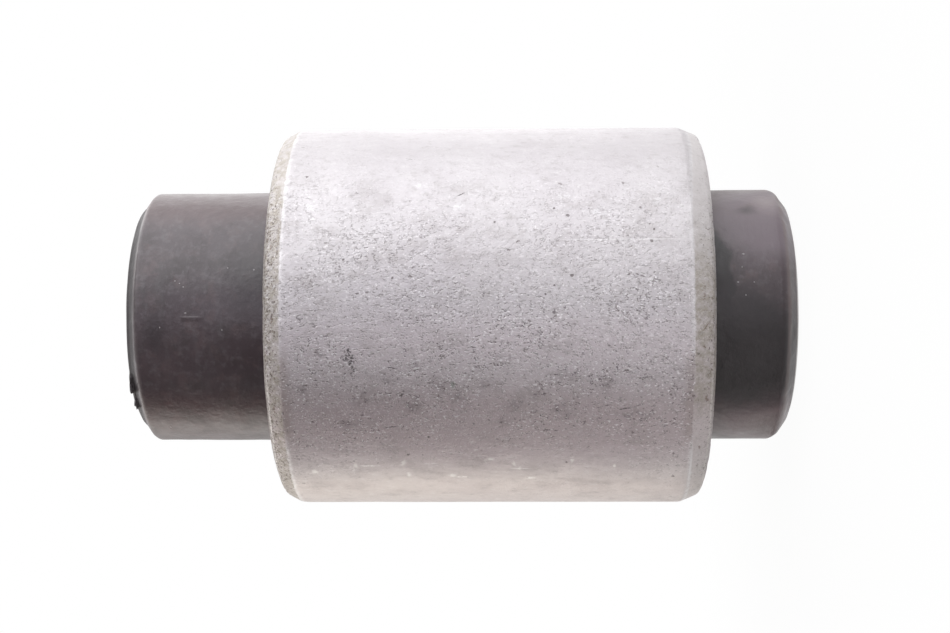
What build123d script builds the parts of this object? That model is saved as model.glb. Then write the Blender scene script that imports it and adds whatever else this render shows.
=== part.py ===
from build123d import *
import os

# Rubber metal bush: a turned steel outer sleeve and a longer steel inner sleeve, held
# together by one rubber moulding that is bonded to both and clothes the inner sleeve
# where it stands out of the outer one. The bush stands on end: +Z runs along its axis,
# and the origin is the centre of the bore at the lower end face. Lengths in millimetres.

# Inner sleeve
overall_length = 102.0          # inner sleeve, end face to end face
bore_diameter = 24.0            # clears the clamping bolt
inner_sleeve_wall = 5.0
inner_edge_chamfer = 0.2        # outside edge of each end
bore_mouth_chamfer = 1.0        # inside edge of each end

# Outer sleeve
outer_diameter = 60.0           # press seat
outer_sleeve_length = 66.0
outer_sleeve_wall = 4.0
lower_reach = 13.5              # inner sleeve's lower end to the outer sleeve's
lead_in_radial = 1.2            # long outside chamfer, across the wall
lower_lead_in_length = 3.4      # end face to press seat, along the axis
upper_lead_in_length = 2.8
rim_break_radial = 1.4          # blunter chamfer between the lead-in and the end face
rim_break_length = 0.5
sleeve_mouth_chamfer = 0.5      # inside edge of each end

# Rubber moulding
collar_skin = 3.0               # rubber over the inner sleeve, outside the outer one
collar_setback = 0.2            # rubber stops this short of the inner sleeve's ends
collar_end_land = 0.6           # flat rubber ring left around the inner sleeve
collar_chamfer_length = 1.7
recess_depth = 3.0              # outer sleeve's end face to the floor of the ring recess
collar_root_radius = 3.0        # fillet between that floor and the collar

# Radii and heights that follow from them
bore_radius = bore_diameter / 2
inner_radius = bore_radius + inner_sleeve_wall
collar_radius = inner_radius + collar_skin
outer_radius = outer_diameter / 2
sleeve_bore_radius = outer_radius - outer_sleeve_wall
sleeve_bottom = lower_reach
sleeve_top = sleeve_bottom + outer_sleeve_length
collar_bottom = collar_setback
collar_top = overall_length - collar_setback
collar_end_radius = inner_radius + collar_end_land


def turned(half_section):
    """The solid that a half section in radius and height makes about the axis."""
    return revolve(Plane.XZ * half_section, Axis.Z)


def make_inner_sleeve():
    """Plain thick-walled tube with broken edges and flat, bare end faces."""
    edge, mouth = inner_edge_chamfer, bore_mouth_chamfer
    outline = Polyline(
        (bore_radius + mouth, 0),
        (inner_radius - edge, 0),
        (inner_radius, edge),
        (inner_radius, overall_length - edge),
        (inner_radius - edge, overall_length),
        (bore_radius + mouth, overall_length),
        (bore_radius, overall_length - mouth),
        (bore_radius, mouth),
        close=True,
    )
    return turned(make_face(outline))


def make_outer_sleeve():
    """Turned tube: a long press seat between two lead-in chamfers of unequal length."""
    mouth = sleeve_mouth_chamfer
    shoulder_radius = outer_radius - lead_in_radial
    rim_radius = shoulder_radius - rim_break_radial
    outline = Polyline(
        (sleeve_bore_radius + mouth, sleeve_bottom),
        (rim_radius, sleeve_bottom),
        (shoulder_radius, sleeve_bottom + rim_break_length),
        (outer_radius, sleeve_bottom + lower_lead_in_length),
        (outer_radius, sleeve_top - upper_lead_in_length),
        (shoulder_radius, sleeve_top - rim_break_length),
        (rim_radius, sleeve_top),
        (sleeve_bore_radius + mouth, sleeve_top),
        (sleeve_bore_radius, sleeve_top - mouth),
        (sleeve_bore_radius, sleeve_bottom + mouth),
        close=True,
    )
    return turned(make_face(outline))


def make_rubber_body():
    """One moulding: the bonded wall between the sleeves and a chamfered collar at each end."""
    lower_floor = sleeve_bottom + recess_depth
    upper_floor = sleeve_top - recess_depth
    outline = Polyline(
        (inner_radius, collar_bottom),
        (collar_end_radius, collar_bottom),
        (collar_radius, collar_bottom + collar_chamfer_length),
        (collar_radius, lower_floor),
        (sleeve_bore_radius, lower_floor),
        (sleeve_bore_radius, upper_floor),
        (collar_radius, upper_floor),
        (collar_radius, collar_top - collar_chamfer_length),
        (collar_end_radius, collar_top),
        (inner_radius, collar_top),
        close=True,
    )
    half_section = make_face(outline)
    collar_corners = half_section.vertices().filter_by_position(
        Axis.X, collar_radius, collar_radius
    )
    collar_roots = collar_corners.sort_by(Axis.Y)[1:3]
    recess_width = sleeve_bore_radius - collar_radius
    return turned(fillet(collar_roots, min(collar_root_radius, recess_width / 2)))


pieces = {
    "outer_sleeve": make_outer_sleeve(),
    "rubber_body": make_rubber_body(),
    "inner_sleeve": make_inner_sleeve(),
}

os.makedirs("parts", exist_ok=True)
for node, shape in pieces.items():
    export_step(shape, f"parts/{node}.step")
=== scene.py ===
import math
from functools import reduce

import bpy
import numpy as np
from mathutils import Matrix, Vector


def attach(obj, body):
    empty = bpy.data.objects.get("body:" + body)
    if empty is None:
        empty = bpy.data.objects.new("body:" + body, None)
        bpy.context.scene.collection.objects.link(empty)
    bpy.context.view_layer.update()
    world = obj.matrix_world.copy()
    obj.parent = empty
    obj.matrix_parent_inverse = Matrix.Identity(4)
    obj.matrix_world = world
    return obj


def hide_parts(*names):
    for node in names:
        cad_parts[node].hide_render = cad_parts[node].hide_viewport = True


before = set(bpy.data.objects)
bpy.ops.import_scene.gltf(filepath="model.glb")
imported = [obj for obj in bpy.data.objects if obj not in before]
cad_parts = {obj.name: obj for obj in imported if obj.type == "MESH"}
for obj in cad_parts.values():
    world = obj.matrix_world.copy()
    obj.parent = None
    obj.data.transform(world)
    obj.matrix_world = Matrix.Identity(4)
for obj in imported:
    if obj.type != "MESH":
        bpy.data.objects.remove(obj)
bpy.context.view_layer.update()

# A rubber metal bush that stands on its end, with the photograph's left end up: a mesh and a
# finish for each of its three pieces, then a floor, a white studio and the camera. An angle round
# the bush is measured from the camera's side, and a positive one lies towards +X.

MM = 0.001

# ---------------------------------------------------------------- sizes in mm, as the CAD has them
OVERALL_LENGTH = 102.0
OUTER_RADIUS = 30.0
SLEEVE_BORE_RADIUS = 26.0
SLEEVE_BOTTOM = 13.5
SLEEVE_TOP = 79.5
RIM_OUTER_RADIUS = 28.8
RIM_INNER_RADIUS = 27.4
RIM_BREAK = 0.5
LOWER_LEAD_IN = 3.4
UPPER_LEAD_IN = 2.8
SLEEVE_MOUTH = 0.5
COLLAR_RADIUS = 20.0
COLLAR_BOTTOM = 0.2
COLLAR_TOP = 101.8
COLLAR_END_RADIUS = 17.6
COLLAR_CHAMFER = 1.7
RECESS_DEPTH = 3.0
ROOT_RADIUS = 3.0
INNER_RADIUS = 17.0
BORE_RADIUS = 12.0
INNER_EDGE = 0.2
BORE_MOUTH = 1.0

SEAT_MIDDLE = (SLEEVE_BOTTOM + SLEEVE_TOP) / 2.0
UPPER_EDGE = SLEEVE_TOP - UPPER_LEAD_IN         # where the seat meets the cones
LOWER_EDGE = SLEEVE_BOTTOM + LOWER_LEAD_IN

# ---------------------------------------------------------------- meshes
OUTSIDE_SEGMENTS = 420          # round the outer sleeve and the rubber
INSIDE_SEGMENTS = 300           # round the inner sleeve
BEND_SPACING = 0.14             # mm between the points of a rounded corner
FEWEST_BEND_STEPS = 4
MOST_BEND_STEPS = 14

# the bar and the torn flash on the long collar: degrees round, and height in mm
BAR_ANGLE = -0.5
BAR_HEIGHT = 91.5
BAR_HALF_LENGTH = 1.9
FLASH_ANGLE = -40.0
FLASH_HEIGHT = 101.4


# ---------------------------------------------------------------- seeded noise on points
def lattice(points, seed):
    """Smooth value noise, 0 to 1, one cell a unit."""
    cell = np.floor(points).astype(np.int64)
    part = points - cell
    part = part * part * (3.0 - 2.0 * part)
    total = np.zeros(len(points))
    for corner in range(8):
        step = np.array([corner & 1, corner >> 1 & 1, corner >> 2 & 1])
        at = cell + step
        mixed = at[:, 0] * 374761393 + at[:, 1] * 668265263 + at[:, 2] * 1440662683
        mixed = (mixed + seed * 974634777) & 0xFFFFFFFF
        mixed = ((mixed ^ (mixed >> 13)) * 1274126177) & 0xFFFFFFFF
        mixed = mixed ^ (mixed >> 16)
        weight = np.prod(np.where(step == 1, part, 1.0 - part), axis=1)
        total += weight * (mixed & 0xFFFF) / 65535.0
    return total


def rough(points, size, octaves, seed):
    """Fractal noise of that feature size in mm, about -1 to 1."""
    octave_shift = 17.3
    spread = 1.6
    total = np.zeros(len(points))
    weight = 1.0
    reach = 0.0
    for octave in range(octaves):
        layer = lattice(points / size * 2.0 ** octave + octave_shift * octave, seed + octave)
        total += weight * (layer * 2.0 - 1.0)
        reach += weight
        weight *= 0.5
    return total / reach * spread


def ease(value, low, high):
    """A smooth step: 0 at low and below, 1 at high and above."""
    t = np.clip((value - low) / (high - low), 0.0, 1.0)
    return t * t * (3.0 - 2.0 * t)


def added(name, data):
    """A new object of the scene."""
    made = bpy.data.objects.new(name, data)
    bpy.context.scene.collection.objects.link(made)
    return made


# ---------------------------------------------------------------- turned meshes
def section(corners):
    """A closed half section in mm, as points.

    Each corner is (radius, height, rounding, spacing of the points on the run that follows).
    """
    count = len(corners)
    bends = []
    for i in range(count):
        rounding = corners[i][2]
        before = np.array(corners[i - 1][:2], float)
        here = np.array(corners[i][:2], float)
        after = np.array(corners[(i + 1) % count][:2], float)
        a = (before - here) / np.linalg.norm(before - here)
        b = (after - here) / np.linalg.norm(after - here)
        inside = math.acos(max(-1.0, min(1.0, float(a @ b))))
        if rounding <= 0.0 or inside > math.pi - 0.02:
            bends.append([here])
            continue
        reach = rounding / math.tan(inside / 2.0)
        middle = here + (a + b) / np.linalg.norm(a + b) * math.hypot(rounding, reach)
        start = here + a * reach - middle
        end = here + b * reach - middle
        first = math.atan2(start[1], start[0])
        turn = (math.atan2(end[1], end[0]) - first + math.pi) % (2.0 * math.pi) - math.pi
        steps = max(FEWEST_BEND_STEPS, abs(turn) * rounding / BEND_SPACING)
        steps = int(min(MOST_BEND_STEPS, steps))
        bend = []
        for k in range(steps + 1):
            t = first + turn * k / steps
            bend.append(middle + rounding * np.array([math.cos(t), math.sin(t)]))
        bends.append(bend)
    points = []
    for i in range(count):
        points.extend(bends[i])
        start = bends[i][-1]
        end = bends[(i + 1) % count][0]
        cuts = max(1, int(round(np.linalg.norm(end - start) / corners[i][3])))
        for k in range(1, cuts):
            points.append(start + (end - start) * k / cuts)
    return np.array(points)


def round_points(radius, height, angle):
    """Points in mm, where angle 0 faces the camera."""
    return np.stack([radius * np.sin(angle), -radius * np.cos(angle), height], axis=1)


def turned(name, half_section, around, wear, flare=None):
    """A closed mesh, turned about Z.

    wear gives the push along the normal and flare the one away from the axis, both in mm.
    """
    rings = len(half_section)
    following = np.roll(half_section, -1, axis=0)
    tangent = following - np.roll(half_section, 1, axis=0)
    tangent /= np.linalg.norm(tangent, axis=1)[:, None]
    turning = np.sum(half_section[:, 0] * following[:, 1] - following[:, 0] * half_section[:, 1])
    if turning < 0.0:
        half_section = half_section[::-1]
        tangent = -tangent[::-1]
    outward = np.stack([tangent[:, 1], -tangent[:, 0]], axis=1)
    angle = np.repeat(np.arange(around) * 2.0 * math.pi / around, rings)
    radius = np.tile(half_section[:, 0], around)
    height = np.tile(half_section[:, 1], around)
    points = round_points(radius, height, angle)
    push = wear(points, radius, height, angle)
    radius = radius + push * np.tile(outward[:, 0], around)
    height = height + push * np.tile(outward[:, 1], around)
    if flare:
        radius = radius + flare(points, radius, height, angle)
    points = round_points(radius, height, angle) * MM
    step = np.arange(around)
    here = (step * rings)[:, None] + np.arange(rings)[None, :]
    there = (((step + 1) % around) * rings)[:, None] + np.arange(rings)[None, :]
    faces = np.stack([here, there, np.roll(there, -1, axis=1), np.roll(here, -1, axis=1)], axis=2)
    mesh = bpy.data.meshes.new(name)
    mesh.from_pydata(points.tolist(), [], faces.reshape(-1, 4).tolist())
    mesh.polygons.foreach_set("use_smooth", [True] * len(mesh.polygons))
    mesh.update()
    return added(name, mesh)


# ---------------------------------------------------------------- outer sleeve
def outer_section():
    low = SLEEVE_BOTTOM
    top = SLEEVE_TOP
    bore = SLEEVE_BORE_RADIUS
    return section([
        (OUTER_RADIUS, LOWER_EDGE, 1.6, 0.46),
        (OUTER_RADIUS, UPPER_EDGE, 1.6, 0.2),
        (RIM_OUTER_RADIUS, top - RIM_BREAK, 1.0, 0.2),
        (RIM_INNER_RADIUS, top, 0.5, 0.3),
        (bore + SLEEVE_MOUTH, top, 0.15, 0.2),
        (bore, top - SLEEVE_MOUTH, 0.1, 0.8),
        # the rubber hides the middle of the bore, so few points lie there
        (bore, top - 6.0, 0.0, 12.0),
        (bore, low + 6.0, 0.0, 0.8),
        (bore, low + SLEEVE_MOUTH, 0.1, 0.2),
        (bore + SLEEVE_MOUTH, low, 0.15, 0.3),
        (RIM_INNER_RADIUS, low, 0.5, 0.2),
        (RIM_OUTER_RADIUS, low + RIM_BREAK, 1.0, 0.2),
    ])


def outer_wear(points, radius, height, angle):
    """Uneven, worn steel, which is nowhere proud of the CAD's surface."""
    outside = ease(radius, 26.2, 27.2)
    push = -0.035 + 0.022 * rough(points, 11.0, 2, 3) + 0.012 * rough(points, 3.2, 2, 7)
    # the edges between the seat and the cones are worn down in places
    away = np.minimum(np.abs(height - UPPER_EDGE), np.abs(height - LOWER_EDGE))
    edge = np.exp(-(away / 0.7) ** 2) * ease(radius, 29.0, 29.6)
    push -= edge * 0.09 * ease(rough(points * [1.0, 1.0, 0.5], 2.1, 3, 11), -0.3, 0.9)
    # the rims at the end faces are chipped
    rim = ease(radius, 26.9, 27.6) * (1.0 - ease(radius, 28.6, 29.4))
    push -= rim * 0.16 * ease(rough(points, 1.7, 3, 19), 0.25, 1.0)
    push -= rim * 0.03 * (1.0 + rough(points, 5.0, 2, 23))
    return np.minimum(push, -0.002) * outside


# ---------------------------------------------------------------- rubber body
def rubber_section():
    low = SLEEVE_BOTTOM + RECESS_DEPTH
    top = SLEEVE_TOP - RECESS_DEPTH
    grip = SLEEVE_BORE_RADIUS       # the rubber's outer wall, bonded to the sleeve
    return section([
        (INNER_RADIUS, COLLAR_BOTTOM, 0.0, 0.25),
        (COLLAR_END_RADIUS, COLLAR_BOTTOM, 0.4, 0.25),
        (COLLAR_RADIUS, COLLAR_BOTTOM + COLLAR_CHAMFER, 2.0, 0.33),
        (COLLAR_RADIUS, low, ROOT_RADIUS, 0.3),
        (grip - 0.8, low, 0.8, 0.2),
        (grip, low - 1.0, 0.0, 1.0),
        (grip, low + 2.0, 0.0, 14.0),
        (grip, top - 2.0, 0.0, 1.0),
        (grip, top + 1.0, 0.0, 0.2),
        (grip - 0.8, top, 0.8, 0.3),
        (COLLAR_RADIUS, top, ROOT_RADIUS, 0.33),
        (COLLAR_RADIUS, COLLAR_TOP - COLLAR_CHAMFER, 0.8, 0.22),
        (COLLAR_END_RADIUS, COLLAR_TOP, 0.4, 0.25),
        (INNER_RADIUS, COLLAR_TOP, 0.0, 8.0),
    ])


def arc(angle, degrees, radius):
    """Distance in mm along the surface from a line at that angle."""
    return (np.mod(angle - math.radians(degrees) + math.pi, 2.0 * math.pi) - math.pi) * radius


def rubber_wear(points, radius, height, angle):
    """Slightly uneven rubber where it shows, true to size where it is bonded."""
    shown = ease(np.minimum(SLEEVE_BORE_RADIUS - radius, radius - INNER_RADIUS), 0.0, 0.4)
    push = -0.03 + 0.05 * rough(points, 9.0, 2, 41) + 0.02 * rough(points, 3.0, 2, 47)
    # a plain raised bar on the long collar
    bar = np.exp(-(arc(angle, BAR_ANGLE, COLLAR_RADIUS) / 0.22) ** 2)
    bar *= 1.0 - ease(np.abs(height - BAR_HEIGHT), 1.5, BAR_HALF_LENGTH)
    push += 0.09 * bar * ease(radius, 19.0, 19.6)
    # the long collar ends just short of flush with the inner sleeve
    push += 0.13 * ease(height, 101.3, 101.7)
    # the short collar's end edge is not quite even
    edge = ease(COLLAR_BOTTOM + 2.6 - height, 0.0, 0.8) * ease(radius, 18.0, 18.6)
    push -= edge * 0.16 * ease(rough(points, 3.4, 2, 59), 0.0, 0.9)
    return push * shown


def rubber_flash(points, radius, height, angle):
    """A torn bit of flash that stands out from the long collar's end edge."""
    along = arc(angle, FLASH_ANGLE, COLLAR_END_RADIUS)
    torn = 1.0 - ease(np.abs(along), 2.6, 3.6)
    torn = torn * ease(height, 101.25, 101.5) * ease(radius, 17.2, 17.5)
    ragged = ease(rough(points, 1.5, 3, 53), -0.4, 0.7)
    return torn * (0.25 + 1.15 * ragged)


# ---------------------------------------------------------------- inner sleeve
def inner_section():
    return section([
        (BORE_RADIUS, BORE_MOUTH, 0.2, 0.25),
        (BORE_RADIUS + BORE_MOUTH, 0.0, 0.15, 0.3),
        (INNER_RADIUS - INNER_EDGE, 0.0, 0.1, 0.15),
        (INNER_RADIUS, INNER_EDGE, 0.1, 0.3),
        (INNER_RADIUS, 2.0, 0.0, 12.0),
        (INNER_RADIUS, OVERALL_LENGTH - 2.0, 0.0, 0.3),
        (INNER_RADIUS, OVERALL_LENGTH - INNER_EDGE, 0.1, 0.15),
        (INNER_RADIUS - INNER_EDGE, OVERALL_LENGTH, 0.1, 0.3),
        (BORE_RADIUS + BORE_MOUTH, OVERALL_LENGTH, 0.15, 0.25),
        (BORE_RADIUS, OVERALL_LENGTH - BORE_MOUTH, 0.2, 2.0),
    ])


def inner_wear(points, radius, height, angle):
    """Nearly true steel."""
    return -0.006 * (1.0 + 0.5 * rough(points, 4.0, 2, 61))


outer_sleeve = turned("outer_sleeve_steel", outer_section(), OUTSIDE_SEGMENTS, outer_wear)
rubber_body = turned(
    "rubber_moulding", rubber_section(), OUTSIDE_SEGMENTS, rubber_wear, rubber_flash)
inner_sleeve = turned("inner_sleeve_steel", inner_section(), INSIDE_SEGMENTS, inner_wear)


# ---------------------------------------------------------------- shader nodes
class Tree:
    """Shader nodes written as expressions."""

    def __init__(self, node_tree):
        self.nodes = node_tree.nodes
        self.links = node_tree.links

    def set(self, socket, value):
        """Give a socket another one's output, a number, a vector or a colour."""
        if isinstance(value, bpy.types.NodeSocket):
            self.links.new(value, socket)
        elif isinstance(value, tuple) and len(value) == 3 and socket.type == "RGBA":
            socket.default_value = (*value, 1.0)
        else:
            socket.default_value = value

    def calc(self, operation, a, b=0.0, c=0.0):
        node = self.nodes.new("ShaderNodeMath")
        node.operation = operation
        for socket, value in zip(node.inputs, (a, b, c)):
            self.set(socket, value)
        return node.outputs[0]

    def times(self, *parts):
        return reduce(lambda a, b: self.calc("MULTIPLY", a, b), parts)

    def plus(self, *parts):
        return reduce(lambda a, b: self.calc("ADD", a, b), parts)

    def most(self, *parts):
        return reduce(lambda a, b: self.calc("MAXIMUM", a, b), parts)

    def without(self, share):
        """What a share from 0 to 1 leaves."""
        return self.calc("SUBTRACT", 1.0, share)

    def off(self, value, middle):
        """How far a value is from that middle, to either side."""
        return self.calc("ABSOLUTE", self.calc("SUBTRACT", value, middle))

    def vector(self, operation, a, b):
        node = self.nodes.new("ShaderNodeVectorMath")
        node.operation = operation
        self.set(node.inputs[0], a)
        self.set(node.inputs[1], b)
        return node.outputs[0]

    def joined(self, *parts):
        """A vector made of three numbers."""
        node = self.nodes.new("ShaderNodeCombineXYZ")
        for socket, part in zip(node.inputs, parts):
            self.set(socket, part)
        return node.outputs[0]

    def split(self, kind, value):
        """The three parts of a vector, kind XYZ, or of a colour, kind Color."""
        node = self.nodes.new("ShaderNodeSeparate" + kind)
        self.set(node.inputs[0], value)
        return node.outputs

    def span(self, value, low, high, to_low=0.0, to_high=1.0):
        """A smooth step from to_low at low to to_high at high, where high may be the lower."""
        node = self.nodes.new("ShaderNodeMapRange")
        node.interpolation_type = "SMOOTHSTEP"
        for socket, part in zip(node.inputs, (value, low, high, to_low, to_high)):
            self.set(socket, part)
        return node.outputs[0]

    def mix(self, share, a, b, mode="MIX"):
        """Colour a with that share of colour b laid over it."""
        node = self.nodes.new("ShaderNodeMix")
        node.data_type = "RGBA"
        node.blend_type = mode
        self.set(node.inputs[0], share)
        self.set(node.inputs[6], a)
        self.set(node.inputs[7], b)
        return node.outputs[2]

    def rays(self):
        """Which rays are the camera's own, and which a shiny surface or glass sent on."""
        path = self.nodes.new("ShaderNodeLightPath").outputs
        return path["Is Camera Ray"], self.most(path["Is Glossy Ray"], path["Is Transmission Ray"])

    def shader(self, kind, **values):
        """A plain shader, such as a diffuse one or a light."""
        node = self.nodes.new(kind)
        for socket, value in values.items():
            self.set(node.inputs[socket], value)
        return node.outputs[0]

    def finish_with(self, out, share, plain, white):
        """Show the shader plain, and the white one to the rays that share picks."""
        node = self.nodes.new("ShaderNodeMixShader")
        for socket, value in zip(node.inputs, (share, plain, white)):
            self.set(socket, value)
        self.set(out.inputs["Surface"], node.outputs[0])


class Finish(Tree):
    """A material whose places and lengths are in mm."""

    def __init__(self, name, radius=1.0):
        self.material = bpy.data.materials.new(name)
        self.material.use_nodes = True
        super().__init__(self.material.node_tree)
        self.principled = self.nodes["Principled BSDF"]
        place = self.nodes.new("ShaderNodeTexCoord").outputs["Object"]
        self.place = self.vector("MULTIPLY", place, (1.0 / MM, 1.0 / MM, 1.0 / MM))
        self.side, self.back, self.height = self.split("XYZ", self.place)
        length = self.nodes.new("ShaderNodeVectorMath")
        length.operation = "LENGTH"
        self.set(length.inputs[0], self.vector("MULTIPLY", self.place, (1.0, 1.0, 0.0)))
        self.radius = length.outputs["Value"]
        # the surface unrolled: mm round from the front, mm up
        turn = self.calc("ARCTAN2", self.side, self.times(self.back, -1.0))
        self.reference = radius
        self.sheet = self.joined(self.times(turn, radius), self.height)

    def moved(self, source, stretch, shift):
        """A place, stretched and shifted, as the texture nodes take it."""
        node = self.nodes.new("ShaderNodeMapping")
        self.set(node.inputs["Vector"], source or self.place)
        self.set(node.inputs["Location"], (shift, shift * 0.7, -shift))
        self.set(node.inputs["Scale"], stretch)
        return node.outputs[0]

    def noise(self, size, detail, roughness, stretch=(1.0, 1.0, 1.0), shift=0.0, source=None):
        """Noise with features of about that size in mm, 0 to 1."""
        node = self.nodes.new("ShaderNodeTexNoise")
        self.set(node.inputs["Vector"], self.moved(source, stretch, shift))
        self.set(node.inputs["Scale"], 1.0 / size)
        self.set(node.inputs["Detail"], detail)
        self.set(node.inputs["Roughness"], roughness)
        return node.outputs["Fac"]

    def shaken(self, source, size, detail, reach, thick=1.0):
        """A place pushed about by noise, so that what it carries has uneven outlines."""
        node = self.nodes.new("ShaderNodeTexNoise")
        self.set(node.inputs["Vector"], self.place)
        self.set(node.inputs["Scale"], 1.0 / size)
        self.set(node.inputs["Detail"], detail)
        push = []
        for channel, weight in zip(self.split("Color", node.outputs["Color"]),
                                   (reach, reach, reach * thick)):
            push.append(self.calc("MULTIPLY_ADD", channel, weight, -0.5 * weight))
        return self.vector("ADD", source, self.joined(*push))

    def ringed(self, drift):
        """A place that hardly changes round the axis, for noise that lies in rings."""
        return self.joined(self.radius, self.height, self.times(self.side, drift))

    def bent(self, size, reach):
        """The place in mm, pushed about by noise."""
        return self.shaken(self.place, size, 1.0, reach)

    def frayed(self, size, reach):
        """The unrolled surface, pushed about by noise."""
        return self.shaken(self.sheet, size, 3.0, reach, 0.0)

    def scatter(self, source, size, stretch, shift, share, largest):
        """Scattered spots, 1 inside, one or none in each cell of that size in mm.

        share is how many cells have none, and largest is their largest radius in cells.
        """
        node = self.nodes.new("ShaderNodeTexVoronoi")
        self.set(node.inputs["Vector"], self.moved(source, stretch, shift))
        self.set(node.inputs["Scale"], 1.0 / size)
        chance = self.split("Color", node.outputs["Color"])[0]
        reach = self.span(chance, share, 1.0, 0.0, largest)
        inside = self.calc("SUBTRACT", reach, node.outputs["Distance"])
        return self.span(inside, 0.0, largest * 0.4)

    def spot(self, degrees, height, across, along, turn=0.0, soft=0.3, source=None):
        """An ellipse on the surface, half sizes in mm: 1 inside and 0 outside."""
        node = self.nodes.new("ShaderNodeMapping")
        node.vector_type = "TEXTURE"
        self.set(node.inputs["Vector"], source or self.sheet)
        self.set(node.inputs["Location"], (math.radians(degrees) * self.reference, height, 0.0))
        self.set(node.inputs["Rotation"], (0.0, 0.0, math.radians(turn)))
        self.set(node.inputs["Scale"], (across, along, 1.0))
        ball = self.nodes.new("ShaderNodeTexGradient")
        ball.gradient_type = "SPHERICAL"
        self.set(ball.inputs["Vector"], node.outputs[0])
        return self.span(ball.outputs["Fac"], 0.0, 1.0 - soft)

    def spots(self, marks, source=None):
        """The largest of several spots, each (degrees, height, across, along, turn, soft)."""
        total = 0.0
        for mark in marks:
            total = self.most(total, self.spot(*mark, source=source))
        return total

    def laid(self, base, *layers):
        """A colour with layers over it, each (where, share, colour)."""
        for where, share, colour in layers:
            base = self.mix(self.times(where, share), base, colour)
        return base

    def relief(self, *layers):
        """One bump from layers of (height, depth in mm)."""
        total = 0.0
        for height, depth in layers:
            total = self.calc("MULTIPLY_ADD", height, depth, total)
        node = self.nodes.new("ShaderNodeBump")
        self.set(node.inputs["Height"], total)
        self.set(node.inputs["Distance"], MM)
        self.set(self.principled.inputs["Normal"], node.outputs["Normal"])


# ---------------------------------------------------------------- marks
# Each is degrees round from the front, height, half size round and along in mm, turn in degrees
# and softness.
DARK_SCRAPES = (
    (-11.9, 66.6, 1.35, 1.05, 0.0, 0.7),
    (-15.1, 66.2, 0.55, 0.45, 0.0, 0.6),
    (-9.6, 66.9, 0.45, 0.9, 20.0, 0.6),
)
FINE_SCRATCHES = (
    (-27.2, 27.2, 0.14, 1.7, 14.0, 0.4),
    (-26.0, 29.6, 0.12, 0.9, 10.0, 0.4),
    (52.0, 58.3, 0.12, 1.0, -14.0, 0.4),
    (36.5, 50.6, 0.12, 1.0, 30.0, 0.4),
    (-33.0, 61.0, 0.12, 1.3, 8.0, 0.4),
    (-14.5, 60.5, 0.10, 1.0, -8.0, 0.4),
)
LARGE_PITS = (
    (10.5, 60.3, 0.26, 0.20, 0.0, 0.4),
    (31.4, 36.9, 0.22, 0.17, 0.0, 0.4),
    (24.4, 22.5, 0.20, 0.18, 0.0, 0.4),
    (5.8, 38.3, 0.22, 0.18, 0.0, 0.4),
    (8.3, 37.0, 0.16, 0.25, 0.0, 0.4),
    (-36.5, 55.5, 0.27, 0.20, 0.0, 0.4),
    (27.0, 45.6, 0.18, 0.22, 0.0, 0.4),
)
BRIGHT_SCRATCHES = (
    (21.4, 27.0, 0.10, 12.6, 0.0, 0.3),
    (-48.6, 64.6, 0.20, 2.0, 0.0, 0.4),
    (-47.6, 55.5, 0.14, 1.4, 2.0, 0.4),
    (-50.0, 42.0, 0.14, 2.2, -2.0, 0.4),
    (-50.0, 16.6, 6.5, 0.19, 0.0, 0.3),
)
RUBBED_AREAS = (
    (32.0, 72.8, 1.3, 1.7, 0.0, 0.0),
    (40.0, 56.6, 1.0, 1.3, 0.0, 0.0),
    (37.5, 48.6, 1.1, 1.7, 0.0, 0.0),
    (32.0, 51.0, 1.0, 1.5, 0.0, 0.0),
    (30.5, 30.5, 1.1, 2.0, 0.0, 0.0),
    (36.0, 35.5, 1.0, 2.0, 0.0, 0.0),
    (34.0, 22.0, 1.2, 1.2, 0.0, 0.0),
)
LIGHT_TICKS = (
    (-51.0, 67.1, 1.4, 0.25, 0.0, 0.2),
    (-48.6, 65.0, 0.2, 2.0, 0.0, 0.2),
    (-46.5, 47.0, 0.8, 0.5, 20.0, 0.2),
    (-54.4, 50.8, 0.3, 1.6, 0.0, 0.2),
    (-50.2, 42.2, 0.9, 0.4, -15.0, 0.2),
    (-51.6, 73.0, 0.9, 0.8, 0.0, 0.2),
    (-48.5, 66.7, 1.0, 0.5, 10.0, 0.2),
    (-47.0, 59.6, 1.1, 0.8, -20.0, 0.2),
    (-53.0, 58.8, 0.9, 0.5, 0.0, 0.2),
    (-53.5, 52.2, 0.6, 1.0, 0.0, 0.2),
    (-45.5, 46.5, 0.5, 0.9, 0.0, 0.2),
    (-47.5, 43.0, 1.1, 0.4, 15.0, 0.2),
    (-46.0, 34.3, 1.2, 0.4, -10.0, 0.2),
    (-49.0, 28.0, 0.9, 0.35, 0.0, 0.2),
    (-55.0, 40.5, 0.5, 1.2, 0.0, 0.2),
)
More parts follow.
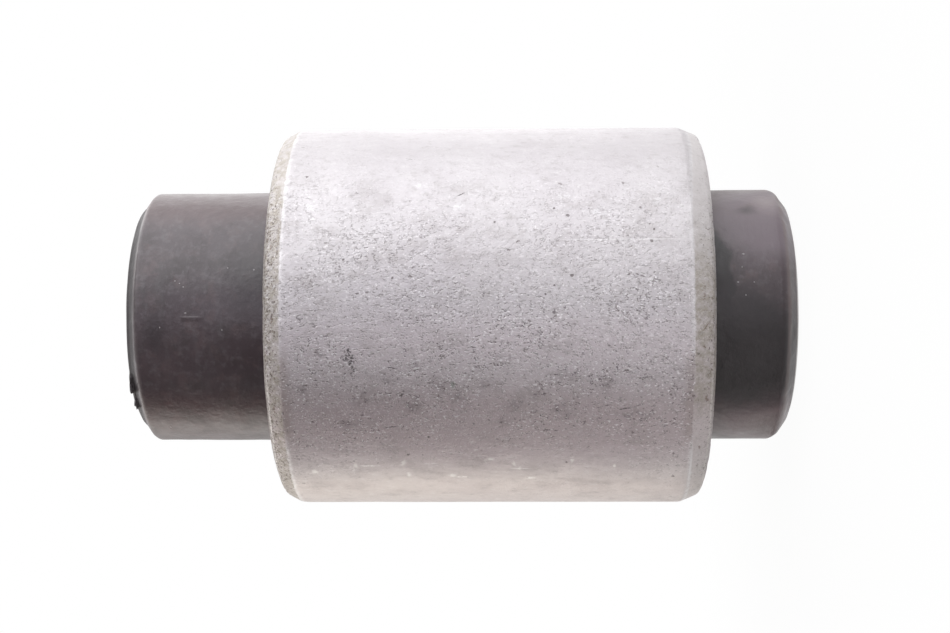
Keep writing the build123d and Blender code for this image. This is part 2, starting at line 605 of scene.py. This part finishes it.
STAINS = (
    (-19.5, 53.5, 1.9, 2.4, 10.0, 0.0),
    (-23.5, 51.0, 1.7, 2.0, 0.0, 0.0),
    (-26.0, 57.6, 1.8, 2.4, 0.0, 0.0),
    (-21.5, 73.5, 1.5, 2.6, 0.0, 0.0),
    (-24.0, 65.0, 1.8, 2.6, 0.0, 0.0),
    (-18.0, 61.0, 1.3, 1.8, 0.0, 0.0),
    (-19.5, 46.5, 1.6, 2.2, 0.0, 0.0),
    (-25.5, 43.0, 2.0, 2.6, 20.0, 0.0),
    (-31.0, 44.0, 1.6, 2.0, 0.0, 0.0),
    (-21.5, 39.5, 1.8, 2.2, 0.0, 0.0),
    (-17.0, 35.6, 1.5, 2.4, 0.0, 0.0),
    (-27.5, 35.5, 2.0, 2.8, 0.0, 0.0),
    (-19.5, 29.2, 1.8, 2.0, 0.0, 0.0),
    (-28.5, 25.5, 1.4, 5.0, 0.0, 0.0),
    (-31.5, 67.5, 1.5, 2.6, 0.0, 0.0),
    (-13.5, 57.0, 1.2, 1.8, 0.0, 0.0),
    (-12.0, 44.0, 1.2, 2.2, 0.0, 0.0),
    (-10.0, 71.0, 1.0, 1.6, 0.0, 0.0),
)
DULL_SPOT = (-19.5, 51.7, 0.75, 0.5)
CONE_STREAKS = (
    (-3.5, 15.3, 0.12, 0.9, 50.0, 0.4),
    (-9.0, 15.5, 0.12, 0.5, -30.0, 0.4),
    (-24.8, 14.9, 0.7, 0.35, 20.0, 0.4),
    (5.0, 15.6, 0.8, 0.5, 0.0, 0.2),
    (-42.0, 15.6, 0.6, 0.25, 0.0, 0.4),
    (-50.0, 15.6, 0.5, 0.25, 0.0, 0.4),
    (-1.0, 77.8, 0.9, 0.3, 0.0, 0.3),
    (20.0, 78.2, 0.6, 0.3, 0.0, 0.3),
    (-28.0, 78.0, 0.9, 0.3, 0.0, 0.3),
)
# painted light on the upper and lower sides of the short collar
SHORT_COLLAR_LIGHT_SPOTS = (
    (50.0, 4.0, 12.0, 12.0, 0.0, 0.5),
    (-62.0, 2.0, 9.0, 12.0, 0.0, 0.5),
)
# painted shade on the short collar beside the sleeve and on its lower front
SHADE_PATCHES = (
    (7.0, 13.5, 14.0, 3.9, 0.0, 0.75),
    (-15.5, 8.5, 12.8, 12.0, 0.0, 0.5),
)
# smears; the first one is painted shade on the long collar beside the sleeve
SMEARS_AND_SHADE = (
    (17.0, 82.0, 9.5, 6.5, 0.0, 0.1),
    (-6.0, 97.0, 5.0, 2.5, 0.0, 0.1),
    (52.6, 7.4, 1.7, 2.6, 0.0, 0.0),
)
# more painted light on the upper and lower sides of the short collar
SHORT_COLLAR_PALE_LIGHT = (
    (-58.0, 4.0, 5.5, 5.5, 0.0, 0.4),
    (60.0, 3.5, 4.5, 5.0, 0.0, 0.0),
)
WARM_PATCHES = (
    (52.0, 98.0, 5.0, 3.5, 0.0, 0.0),
    (50.0, 90.0, 4.0, 6.0, 0.0, 0.0),
    (24.0, 97.5, 4.0, 3.0, 0.0, 0.0),
    (-24.0, 96.5, 3.5, 4.0, 0.0, 0.0),
    (-58.0, 91.0, 3.5, 8.0, 0.0, 0.0),
    (56.0, 7.0, 3.5, 3.0, 0.0, 0.0),
    (-57.0, 5.0, 3.0, 4.0, 0.0, 0.0),
)
DUST = (
    (15.7, 94.0, 0.13, 0.16, 0.0, 0.3),
    (14.6, 93.3, 0.10, 0.12, 0.0, 0.3),
    (13.0, 92.7, 0.13, 0.14, 0.0, 0.3),
    (1.6, 92.3, 0.14, 0.24, 0.0, 0.3),
    (20.6, 82.1, 0.16, 0.16, 0.0, 0.3),
    (21.6, 86.1, 0.14, 0.13, 0.0, 0.3),
    (-5.8, 86.8, 0.12, 0.12, 0.0, 0.3),
    (-4.6, 96.2, 0.12, 0.12, 0.0, 0.3),
    (27.0, 8.4, 0.14, 0.30, 0.0, 0.3),
    (20.8, 8.7, 0.12, 0.12, 0.0, 0.3),
    (14.0, 9.4, 0.14, 0.20, 0.0, 0.3),
    (14.0, 7.0, 0.11, 0.12, 0.0, 0.3),
    (8.3, 8.3, 0.12, 0.12, 0.0, 0.3),
)


# Strips of the seat that are rubbed smoother: degrees round, half width in mm, share smoothed
SMOOTH_STRIPS = (
    (-66.0, 18.5, 0.85),
    (61.5, 20.5, 0.66),
)
STRIP_REACH = 60.0              # half lengths in mm of spots that run along the whole seat
TINT_REACH = 90.0
# the lower cone's looks hold below the first of these heights, the upper one's above the second
LOWER_HALF = 40.0
UPPER_HALF = 50.0
RIM_HIGHLIGHT_RADIUS = 28.7          # the painted highlight where a cone meets its end face
LOW_HIGHLIGHT_HEIGHT = 1.7           # the painted highlights on the collars' end edges
HIGH_HIGHLIGHT_HEIGHT = 99.9

# ---------------------------------------------------------------- colours, linear
WHITE = (1.0, 1.0, 1.0)

STEEL_DARKER = (0.595, 0.563, 0.580)
STEEL_LIGHTER = (0.631, 0.603, 0.615)
# painted light: the lighter front strip of the sleeve
STEEL_FRONT_PAINTED_LIGHT = (0.735, 0.675, 0.700)
STEEL_CLOUD = (0.42, 0.385, 0.38)
STEEL_DULL = (0.40, 0.37, 0.365)
STEEL_PALE = (0.74, 0.72, 0.72)
# painted shade and painted warm light from below, laid over the steel as tints
PINK_PAINTED_SHADE = (1.0, 0.915, 0.925)
WARM_PAINTED_LIGHT = (1.0, 0.955, 0.905)
STAIN = (0.29, 0.25, 0.26)
SPOT_GREEN = (0.40, 0.41, 0.39)
EDGE_SHADE = (0.40, 0.33, 0.31)
# a worn edge with a painted highlight
WORN_EDGE_AND_HIGHLIGHT = (0.86, 0.85, 0.85)
CONE_DIRT = (0.445, 0.405, 0.355)
# painted light on the lower cone's sides
CONE_PAINTED_LIGHT = (0.81, 0.775, 0.75)
# a painted highlight
RIM_HIGHLIGHT = (0.86, 0.83, 0.80)
RUBBED = (0.90, 0.90, 0.91)
# painted glints
FLECK_GLINT = (0.99, 0.97, 0.98)
POCK = (0.22, 0.19, 0.18)
STROKE = (0.15, 0.125, 0.13)
SCRATCH = (0.90, 0.89, 0.89)
TICK = (0.88, 0.86, 0.84)
PIT = (0.14, 0.115, 0.11)
HOLE = (0.09, 0.075, 0.07)
SCRAPE = (0.07, 0.06, 0.06)
STREAK = (0.20, 0.13, 0.10)
EATEN = (0.13, 0.095, 0.08)

RUBBER_DARKER = (0.064, 0.044, 0.050)
RUBBER_LIGHTER = (0.082, 0.062, 0.070)
RUBBER_CLOUD = (0.045, 0.033, 0.034)
RUBBER_BLOTCH = (0.125, 0.085, 0.088)
RUBBER_BAND = (0.100, 0.090, 0.096)
RUBBER_SPECK = (0.14, 0.12, 0.13)
BAR_GLINT = (0.26, 0.24, 0.24)
# painted light on the upper side of the collars
TOP_PAINTED_LIGHT = (0.160, 0.105, 0.105)
# painted light, grey
PAINTED_LIGHT_GREY = (0.192, 0.155, 0.174)
# painted warm light on the lower side of the collars
UNDER_PAINTED_WARM_LIGHT = (1.0, 0.62, 0.60)
# painted light, pale
PAINTED_PALE_LIGHT = (0.320, 0.270, 0.270)
# painted shade
PAINTED_SHADE_TINT = (0.88, 0.885, 0.89)
WARM_RUBBER = (0.135, 0.090, 0.095)
# smears and painted shade
SMEAR_AND_SHADE = (0.024, 0.017, 0.020)
# painted shade
PAINTED_SHADE = (0.014, 0.009, 0.011)
# painted highlights
LOW_EDGE_HIGHLIGHT = (0.20, 0.14, 0.13)
HIGH_EDGE_HIGHLIGHT = (0.20, 0.17, 0.17)
# painted shade
COLLAR_END_SHADE = (0.020, 0.016, 0.018)
TORN_FLASH = (0.060, 0.050, 0.054)
DUST_GREY = (0.62, 0.60, 0.60)

TURNED_DARKER = (0.44, 0.43, 0.42)
TURNED_LIGHTER = (0.54, 0.53, 0.52)
TURNED_GROOVE = (0.34, 0.33, 0.32)


# ---------------------------------------------------------------- finishes
def outer_finish():
    """Worn steel: a grainy, pitted seat between two dirty cones."""
    f = Finish("worn_outer_steel", OUTER_RADIUS)
    frayed = f.frayed(1.2, 2.0)
    torn = f.frayed(0.4, 0.35)
    # the seat is grainy all round, thicker in patches, and rubbed smoother in two strips
    grain = f.span(f.noise(9.0, 3.0, 0.6, shift=77.0), 0.36, 0.62, 0.5, 1.0)
    for degrees, half_width, share in SMOOTH_STRIPS:
        strip = f.spot(degrees, SEAT_MIDDLE, half_width, STRIP_REACH, soft=0.4, source=frayed)
        grain = f.times(grain, f.calc("MULTIPLY_ADD", strip, -share, 1.0))
    grain = f.times(grain, f.span(f.side, 15.0, -7.5, 0.60, 1.38))
    # lead-in cones, and how far a point lies past the worn edge where they meet the seat
    lower = f.calc("SUBTRACT", LOWER_EDGE, f.height)
    lower = f.calc("SUBTRACT", lower, f.span(f.side, 13.0, 29.0, 0.0, 1.2))
    lower = f.calc("SUBTRACT", lower, f.span(f.side, -14.0, -29.0, 0.0, 0.6))
    past = f.most(f.calc("SUBTRACT", f.height, UPPER_EDGE), lower)
    tear = f.noise(0.7, 4.0, 0.7, shift=50.0)
    ragged = f.calc("MULTIPLY_ADD", f.calc("SUBTRACT", tear, 0.5), 0.7, past)
    cone = f.span(ragged, -0.1, 0.2)
    cone_grain = f.times(f.span(f.height, LOWER_HALF, UPPER_HALF, 0.35, 0.65),
                         f.span(f.side, 20.0, 12.0, 0.3, 1.0))
    grain = f.most(f.times(grain, f.without(cone)), f.times(cone, cone_grain))

    grit = f.noise(0.55, 2.0, 0.6, stretch=(1.0, 1.0, 0.6), shift=15.0)
    small = f.noise(1.1, 3.0, 0.6, stretch=(1.0, 1.0, 0.7), shift=12.0)
    cloud = f.noise(4.2, 4.0, 0.6, stretch=(1.0, 1.0, 0.7), shift=31.0)
    mottle = f.noise(0.9, 4.0, 0.65, shift=71.0)

    # the steel under its dull film, with painted light in tints that run along it: a pink painted
    # shade, a warm painted light from below at the bottom and a lighter painted front strip
    wide = f.noise(22.0, 3.0, 0.55)
    base = f.mix(f.span(wide, 0.3, 0.7), STEEL_DARKER, STEEL_LIGHTER)
    pink_shade = f.spot(-32.0, SEAT_MIDDLE, 13.0, TINT_REACH, soft=0.2, source=frayed)
    base = f.mix(pink_shade, base, PINK_PAINTED_SHADE, "MULTIPLY")
    warm = f.spot(-74.0, SEAT_MIDDLE, 18.0, TINT_REACH, soft=0.4, source=frayed)
    base = f.mix(warm, base, WARM_PAINTED_LIGHT, "MULTIPLY")
    base = f.mix(f.spot(-10.0, SEAT_MIDDLE, 8.5, TINT_REACH, soft=0.0), base, STEEL_FRONT_PAINTED_LIGHT)
    clouded = f.times(f.span(cloud, 0.50, 0.72, 0.0, 0.36), f.span(f.side, 25.0, 12.0, 0.35, 1.0))
    base = f.mix(clouded, base, STEEL_CLOUD)
    base = f.mix(f.span(small, 0.52, 0.75, 0.0, 0.34), base, STEEL_DULL)
    base = f.mix(f.span(small, 0.46, 0.28, 0.0, 0.25), base, STEEL_PALE)
    stain = f.times(f.spots(STAINS, frayed), f.span(mottle, 0.42, 0.60, 0.18, 0.62))
    base = f.mix(stain, base, STAIN)
    base = f.mix(f.spot(*DULL_SPOT, source=torn), base, SPOT_GREEN)
    # painted shade on the seat just inside its edges, along the shaded side, where the bright edge
    # line fades
    shaded_side = f.spot(-24.0, SEAT_MIDDLE, 9.5, TINT_REACH, soft=0.6, source=frayed)
    shade = f.times(f.span(past, -1.9, -0.3), f.span(past, 0.1, -0.1, 0.0, 0.45))
    base = f.mix(f.times(shade, shaded_side), base, EDGE_SHADE)

    # the cones are dirty, the lower one less so away from its middle, where it also has painted
    # light on its upper and lower sides, and their outer edges get a painted highlight
    sides = f.most(f.span(f.side, 4.0, 17.0, 0.0, 0.95), f.span(f.side, -11.0, -17.0))
    clean_and_lit = f.times(f.span(f.height, UPPER_HALF, LOWER_HALF), sides)
    dirt = f.times(f.span(mottle, 0.35, 0.65, 0.30, 0.95), f.without(clean_and_lit))
    base = f.mix(f.times(cone, dirt), base, CONE_DIRT)
    base = f.mix(f.times(cone, clean_and_lit, 0.35), base, CONE_PAINTED_LIGHT)
    # the worn edge between the seat and the cones, pale from wear and a painted highlight,
    # stronger on the lower side and faded on the shaded side
    worn_edge_and_highlight = f.times(f.span(ragged, -0.70, -0.15), f.span(ragged, 0.22, 0.0))
    worn_edge_and_highlight = f.times(worn_edge_and_highlight, f.without(shaded_side), f.span(small, 0.60, 0.42, 0.16, 0.33))
    worn_edge_and_highlight = f.times(worn_edge_and_highlight, f.span(f.side, -14.0, -19.0, 1.0, 1.9))
    base = f.mix(worn_edge_and_highlight, base, WORN_EDGE_AND_HIGHLIGHT)
    # a painted highlight on the lower side of the cones' outer edges
    rim = f.span(f.off(f.radius, RIM_HIGHLIGHT_RADIUS), 0.24, 0.08, 0.0, 0.6)
    rim = f.times(rim, cone, f.span(f.side, -6.0, -12.0))
    base = f.mix(rim, base, RIM_HIGHLIGHT)

    # light scuffs, and flecks that are painted glints
    rubbed = f.times(f.spots(RUBBED_AREAS, frayed), f.span(grit, 0.44, 0.56, 0.0, 0.40))
    base = f.mix(rubbed, base, RUBBED)
    fleck_glint = f.noise(0.26, 1.0, 0.5, stretch=(1.0, 1.0, 0.6), shift=91.0)
    fleck_glint = f.plus(fleck_glint, f.span(f.off(f.side, -1.5), 11.0, 5.0, -0.006, 0.016))
    fleck_glint = f.times(f.span(fleck_glint, 0.59, 0.70, 0.0, 0.62), grain)
    base = f.mix(fleck_glint, base, FLECK_GLINT)

    # dark pocks and strokes in broken lines, with bright scratches over them
    fine = f.noise(0.22, 1.0, 0.5, stretch=(1.0, 1.0, 0.72), shift=5.0)
    hollow = f.calc("MULTIPLY_ADD", fine, 0.6, f.times(grit, 0.4))
    pock = f.times(f.span(hollow, 0.56, 0.64), grain)
    base = f.laid(base, (pock, 0.55, POCK))
    vein = f.noise(0.8, 2.0, 0.6, stretch=(1.0, 1.0, 0.55), shift=7.0)
    vein = f.span(f.off(vein, 0.5), 0.030, 0.008)
    stroke = f.times(vein, f.span(mottle, 0.50, 0.58), grain)
    base = f.laid(base, (stroke, 0.62, STROKE))
    bright = f.times(f.spots(BRIGHT_SCRATCHES), f.span(small, 0.34, 0.50, 0.0, 0.6))
    base = f.mix(bright, base, SCRATCH)
    ticks = f.times(f.spots(LIGHT_TICKS, torn), f.span(mottle, 0.40, 0.54, 0.0, 0.75))
    base = f.mix(ticks, base, TICK)

    # small pits, larger holes, scrapes and streaks
    bent = f.bent(0.30, 0.5)
    pits = f.scatter(bent, 1.25, (1.0, 1.0, 0.8), 3.0, 0.70, 0.22)
    pits = f.times(pits, f.span(grain, 0.10, 0.35))
    base = f.laid(base, (pits, 0.65, PIT))
    holes = f.scatter(bent, 3.1, (1.0, 1.0, 0.8), 43.0, 0.74, 0.09)
    holes = f.times(holes, f.span(grain, 0.25, 0.5))
    holes = f.most(holes, f.spots(LARGE_PITS, torn))
    base = f.laid(base, (holes, 0.80, HOLE))
    crack = f.span(f.noise(0.36, 3.0, 0.7, shift=61.0), 0.47, 0.56)
    scrape = f.times(f.spots(DARK_SCRAPES, frayed), crack)
    scratch = f.times(f.spots(FINE_SCRATCHES, torn), f.span(grit, 0.36, 0.48))
    base = f.laid(base, (f.most(scrape, scratch), 0.85, SCRAPE))
    streak = f.times(f.spots(CONE_STREAKS, torn), f.span(grit, 0.42, 0.52, 0.0, 0.65))
    base = f.mix(streak, base, STREAK)

    # the cones are eaten away in spots, the upper one more
    eaten = f.plus(f.noise(0.36, 3.0, 0.7, shift=83.0), f.span(f.radius, 28.4, 30.0, 0.06, -0.03))
    eaten = f.plus(eaten, f.span(f.height, LOWER_HALF, UPPER_HALF, -0.055, 0.01))
    eaten = f.plus(eaten, f.span(f.side, 13.0, 21.0, 0.0, -0.06))
    eaten = f.times(f.span(eaten, 0.56, 0.64), cone)
    base = f.laid(base, (eaten, 0.75, EATEN))
    f.set(f.principled.inputs["Base Color"], base)
    f.set(f.principled.inputs["Metallic"], 0.7)
    gloss = f.plus(f.span(cloud, 0.3, 0.7, 0.48, 0.56), f.times(cone, 0.05))
    f.set(f.principled.inputs["Roughness"], gloss)
    level = f.times(f.calc("SUBTRACT", hollow, 0.5), grain)
    sunk = f.most(pock, eaten, pits, stroke)
    f.relief((cloud, 0.12), (small, 0.07), (level, -0.07), (sunk, -0.06))
    return f.material


def rubber_finish():
    """Dusty moulded rubber, with painted light on the short collar's sides and painted shade in
    dark patches.
    """
    f = Finish("moulded_black_rubber", COLLAR_RADIUS)
    frayed = f.frayed(4.0, 3.0)
    wide = f.noise(15.0, 3.0, 0.55, shift=4.0)
    cloud = f.noise(4.0, 4.0, 0.6, shift=37.0)
    blotch = f.noise(2.4, 3.0, 0.6, shift=58.0)
    small = f.noise(1.1, 4.0, 0.6, shift=22.0)
    fine = f.noise(0.3, 2.0, 0.5, shift=2.0)
    bands = f.noise(1.3, 3.0, 0.6, source=f.ringed(0.15))
    short_collar_light = f.spots(SHORT_COLLAR_LIGHT_SPOTS, frayed)
    shade_patch = f.spots(SHADE_PATCHES, frayed)
    smear_and_shade = f.spots(SMEARS_AND_SHADE, frayed)
    warm = f.times(f.spots(WARM_PATCHES, frayed), f.span(cloud, 0.60, 0.40))
    scatter = f.scatter(f.bent(0.30, 0.3), 5.0, (1.0, 1.0, 1.0), 27.0, 0.80, 0.06)
    dust = f.most(scatter, f.spots(DUST))
    flash = f.spot(FLASH_ANGLE, FLASH_HEIGHT, 4.0, 0.9, soft=0.6)
    # painted shade on the long collar's end band, which is also rougher
    end = f.span(f.height, 100.2, 100.9)
    # painted highlights on the collars' end edges, the long one's stronger on the lower side
    low_edge_highlight = f.span(f.off(f.height, LOW_HIGHLIGHT_HEIGHT), 0.5, 0.1)
    high_edge_highlight = f.span(f.off(f.height, HIGH_HIGHLIGHT_HEIGHT), 0.45, 0.1)
    high_edge_highlight = f.times(high_edge_highlight, f.span(f.side, 0.0, -7.8, 0.2, 1.0))

    base = f.mix(f.span(wide, 0.3, 0.7), RUBBER_DARKER, RUBBER_LIGHTER)
    base = f.mix(f.span(cloud, 0.48, 0.70, 0.0, 0.6), base, RUBBER_CLOUD)
    base = f.mix(f.span(blotch, 0.50, 0.68, 0.0, 0.45), base, RUBBER_BLOTCH)
    base = f.mix(f.span(bands, 0.50, 0.75, 0.0, 0.35), base, RUBBER_BAND)
    base = f.mix(f.span(small, 0.48, 0.70, 0.0, 0.5), base, RUBBER_SPECK)
    # a painted glint on one side of the raised bar
    bar = f.spot(BAR_ANGLE + 0.5, BAR_HEIGHT, 0.15, BAR_HALF_LENGTH, soft=0.5)
    base = f.laid(base, (bar, 0.4, BAR_GLINT))
    # painted light along the collars, lighter on the upper side and warm on the lower, which
    # leaves out the walls of the recesses
    skin = f.span(f.radius, 21.5, 20.3)
    base = f.mix(f.times(f.span(f.side, 13.0, 17.0, 0.0, 0.5), skin), base, TOP_PAINTED_LIGHT)
    # painted light on the short collar's upper and lower sides
    base = f.laid(base, (short_collar_light, 0.85, PAINTED_LIGHT_GREY))
    under_warm_light = f.times(f.span(f.side, -10.0, -15.0), f.span(f.height, 15.0, 60.0, 0.5, 1.0))
    base = f.mix(f.times(under_warm_light, skin), base, UNDER_PAINTED_WARM_LIGHT, "MULTIPLY")
    # more painted light on the short collar's upper and lower sides
    base = f.laid(base, (f.spots(SHORT_COLLAR_PALE_LIGHT, frayed), 0.55, PAINTED_PALE_LIGHT))
    # painted shade on the upper front of the long collar
    base = f.mix(f.spot(14.0, 91.0, 8.5, 25.0, soft=0.2), base, PAINTED_SHADE_TINT, "MULTIPLY")
    base = f.laid(
        base,
        (warm, 0.45, WARM_RUBBER),
        # smears, and painted shade beside the sleeve
        (smear_and_shade, 0.60, SMEAR_AND_SHADE),
        # painted shade on the short collar
        (shade_patch, 0.92, PAINTED_SHADE),
        (low_edge_highlight, 0.4, LOW_EDGE_HIGHLIGHT),
        (high_edge_highlight, 0.25, HIGH_EDGE_HIGHLIGHT),
        (end, 0.85, COLLAR_END_SHADE),
        (flash, 0.8, TORN_FLASH),
        (dust, 0.7, DUST_GREY),
    )
    f.set(f.principled.inputs["Base Color"], base)
    gloss = f.plus(f.span(cloud, 0.3, 0.7, 0.34, 0.44), f.times(end, 0.25))
    f.set(f.principled.inputs["Roughness"], gloss)
    f.set(f.principled.inputs["Specular IOR Level"], 0.85)
    f.relief((cloud, 0.12), (bands, 0.04), (small, 0.07), (fine, 0.012), (dust, 0.04))
    return f.material


def inner_finish():
    """Plain steel with fine turned rings."""
    f = Finish("turned_inner_steel")
    wide = f.noise(6.0, 3.0, 0.55, shift=14.0)
    rings = f.noise(0.16, 2.0, 0.6, source=f.ringed(0.05))
    base = f.mix(f.span(wide, 0.3, 0.7), TURNED_DARKER, TURNED_LIGHTER)
    base = f.laid(base, (f.span(rings, 0.45, 0.75), 0.4, TURNED_GROOVE))
    f.set(f.principled.inputs["Base Color"], base)
    f.set(f.principled.inputs["Metallic"], 0.85)
    f.set(f.principled.inputs["Roughness"], f.span(wide, 0.3, 0.7, 0.34, 0.46))
    f.relief((rings, 0.02), (wide, 0.05))
    return f.material


outer_sleeve.data.materials.append(outer_finish())
rubber_body.data.materials.append(rubber_finish())
inner_sleeve.data.materials.append(inner_finish())

for piece, node, slot in (
    (outer_sleeve, "outer_sleeve", "outer_steel"),
    (rubber_body, "rubber_body", "moulded_rubber"),
    (inner_sleeve, "inner_sleeve", "inner_steel"),
):
    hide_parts(node)
    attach(piece, "root")

# ---------------------------------------------------------------- floor
FLOOR_REACH = 200.0
FLOOR_SIDES = 96
FLOOR_COLOUR = (0.8, 0.8, 0.8)


def floor_disc():
    mesh = bpy.data.meshes.new("studio_floor")
    ring = []
    for k in range(FLOOR_SIDES):
        turn = 2.0 * math.pi * k / FLOOR_SIDES
        ring.append((FLOOR_REACH * MM * math.cos(turn), FLOOR_REACH * MM * math.sin(turn), 0.0))
    mesh.from_pydata(ring, [], [tuple(range(FLOOR_SIDES))])
    return added("studio_floor", mesh)


def floor_finish():
    """Matt under the lamps, but white to the camera and in what the object reflects."""
    f = Finish("pale_floor")
    f.nodes.remove(f.principled)
    matt = f.shader("ShaderNodeBsdfDiffuse", Color=FLOOR_COLOUR)
    white = f.shader("ShaderNodeEmission", Color=WHITE, Strength=1.0)
    camera_ray, mirrored = f.rays()
    # the object reflects the white of the part behind it and under it
    above = f.times(f.most(f.side, 0.0), 0.55)
    far = f.span(f.calc("DIVIDE", f.plus(f.back, above), f.radius), -0.15, 0.5)
    far = f.most(far, f.span(f.radius, 24.0, 19.0))
    # near the object the camera sees a little of its shadow
    seen = f.times(camera_ray, f.span(f.radius, 30.0, 150.0, 0.96, 1.0))
    shown = f.most(seen, f.times(mirrored, far))
    f.finish_with(f.nodes["Material Output"], shown, matt, white)
    return f.material


floor = floor_disc()
floor.data.materials.append(floor_finish())

# ---------------------------------------------------------------- world
ROOM_LIGHT = 0.15
ROOM_COLOUR = (1.0, 0.929, 0.909)


def studio_world():
    """A dim room in front of the object, with a white background behind it."""
    world = bpy.data.worlds.new("studio")
    world.use_nodes = True
    tree = Tree(world.node_tree)
    tree.nodes.clear()
    place = tree.nodes.new("ShaderNodeTexCoord").outputs["Generated"]
    behind = tree.span(tree.split("XYZ", place)["Y"], -0.15, 0.55)
    camera_ray, mirrored = tree.rays()
    shown = tree.most(camera_ray, tree.times(mirrored, behind))
    room = tree.shader("ShaderNodeBackground", Color=ROOM_COLOUR, Strength=ROOM_LIGHT)
    white = tree.shader("ShaderNodeBackground", Color=WHITE, Strength=1.0)
    tree.finish_with(tree.nodes.new("ShaderNodeOutputWorld"), shown, room, white)
    return world


bpy.context.scene.world = studio_world()


# ---------------------------------------------------------------- lamps
OBJECT_MIDDLE = Vector((0.0, 0.0, OVERALL_LENGTH / 2.0 * MM))


def faced(place, right, up, back):
    """The matrix of an object at that place, with its axes along those three directions."""
    return Matrix.Translation(place) @ Matrix((right, up, back)).transposed().to_4x4()


def lamp(name, direction, distance, width, tall, power, colour):
    """A soft panel that faces the middle of the object, out in that direction.

    Sizes and distance are in m, and power in W.
    """
    data = bpy.data.lights.new(name, "AREA")
    data.shape = "RECTANGLE"
    data.size = width
    data.size_y = tall
    data.energy = power
    data.color = colour
    place = OBJECT_MIDDLE + Vector(direction).normalized() * distance
    back = (place - OBJECT_MIDDLE).normalized()
    right = Vector((0.0, 0.0, 1.0)).cross(back).normalized()
    made = added(name, data)
    made.matrix_world = faced(place, right, back.cross(right), back)
    made.visible_camera = False


lamp("key_panel", (0.93, -0.37, 0.42), 0.7, 1.0, 1.0, 6.35, (0.964, 0.982, 1.0))
lamp("back_panel", (0.62, 0.79, 0.42), 0.7, 0.5, 1.0, 1.57, (0.99, 1.0, 1.0))
lamp("low_panel", (-0.89, 0.45, 0.36), 0.7, 0.45, 1.0, 1.46, (1.0, 0.934, 0.833))
lamp("front_fill", (0.20, -0.98, 0.30), 0.8, 0.5, 0.8, 1.08, (0.927, 0.89, 1.0))
lamp("top_panel", (0.10, 0.20, 1.00), 1.0, 2.4, 2.4, 7.93, (1.0, 1.0, 1.0))

# ---------------------------------------------------------------- camera
# Fitted to the photograph, where the bush lies on its side: the picture's right is down here.
CAMERA_PLACE = Vector((-0.00017, -0.26284, 0.04131))
CAMERA_RIGHT = Vector((-0.0043, 0.0304, -0.99953))
CAMERA_FORWARD = Vector((0.0001, 0.99954, 0.0304))
FOCAL_PIXELS = 1624.05
PHOTO_WIDTH = 950.0
SENSOR_WIDTH = 36.0

camera_data = bpy.data.cameras.new("camera")
camera_data.sensor_fit = "HORIZONTAL"
camera_data.sensor_width = SENSOR_WIDTH
camera_data.lens = FOCAL_PIXELS / PHOTO_WIDTH * SENSOR_WIDTH
camera_data.clip_start = 0.01
camera_data.clip_end = 20.0
camera = added("camera", camera_data)
backward = -CAMERA_FORWARD.normalized()
right = (CAMERA_RIGHT - backward * CAMERA_RIGHT.dot(backward)).normalized()
camera.matrix_world = faced(CAMERA_PLACE, right, backward.cross(right), backward)
bpy.context.scene.camera = camera
bpy.context.scene.view_settings.view_transform = "Standard"
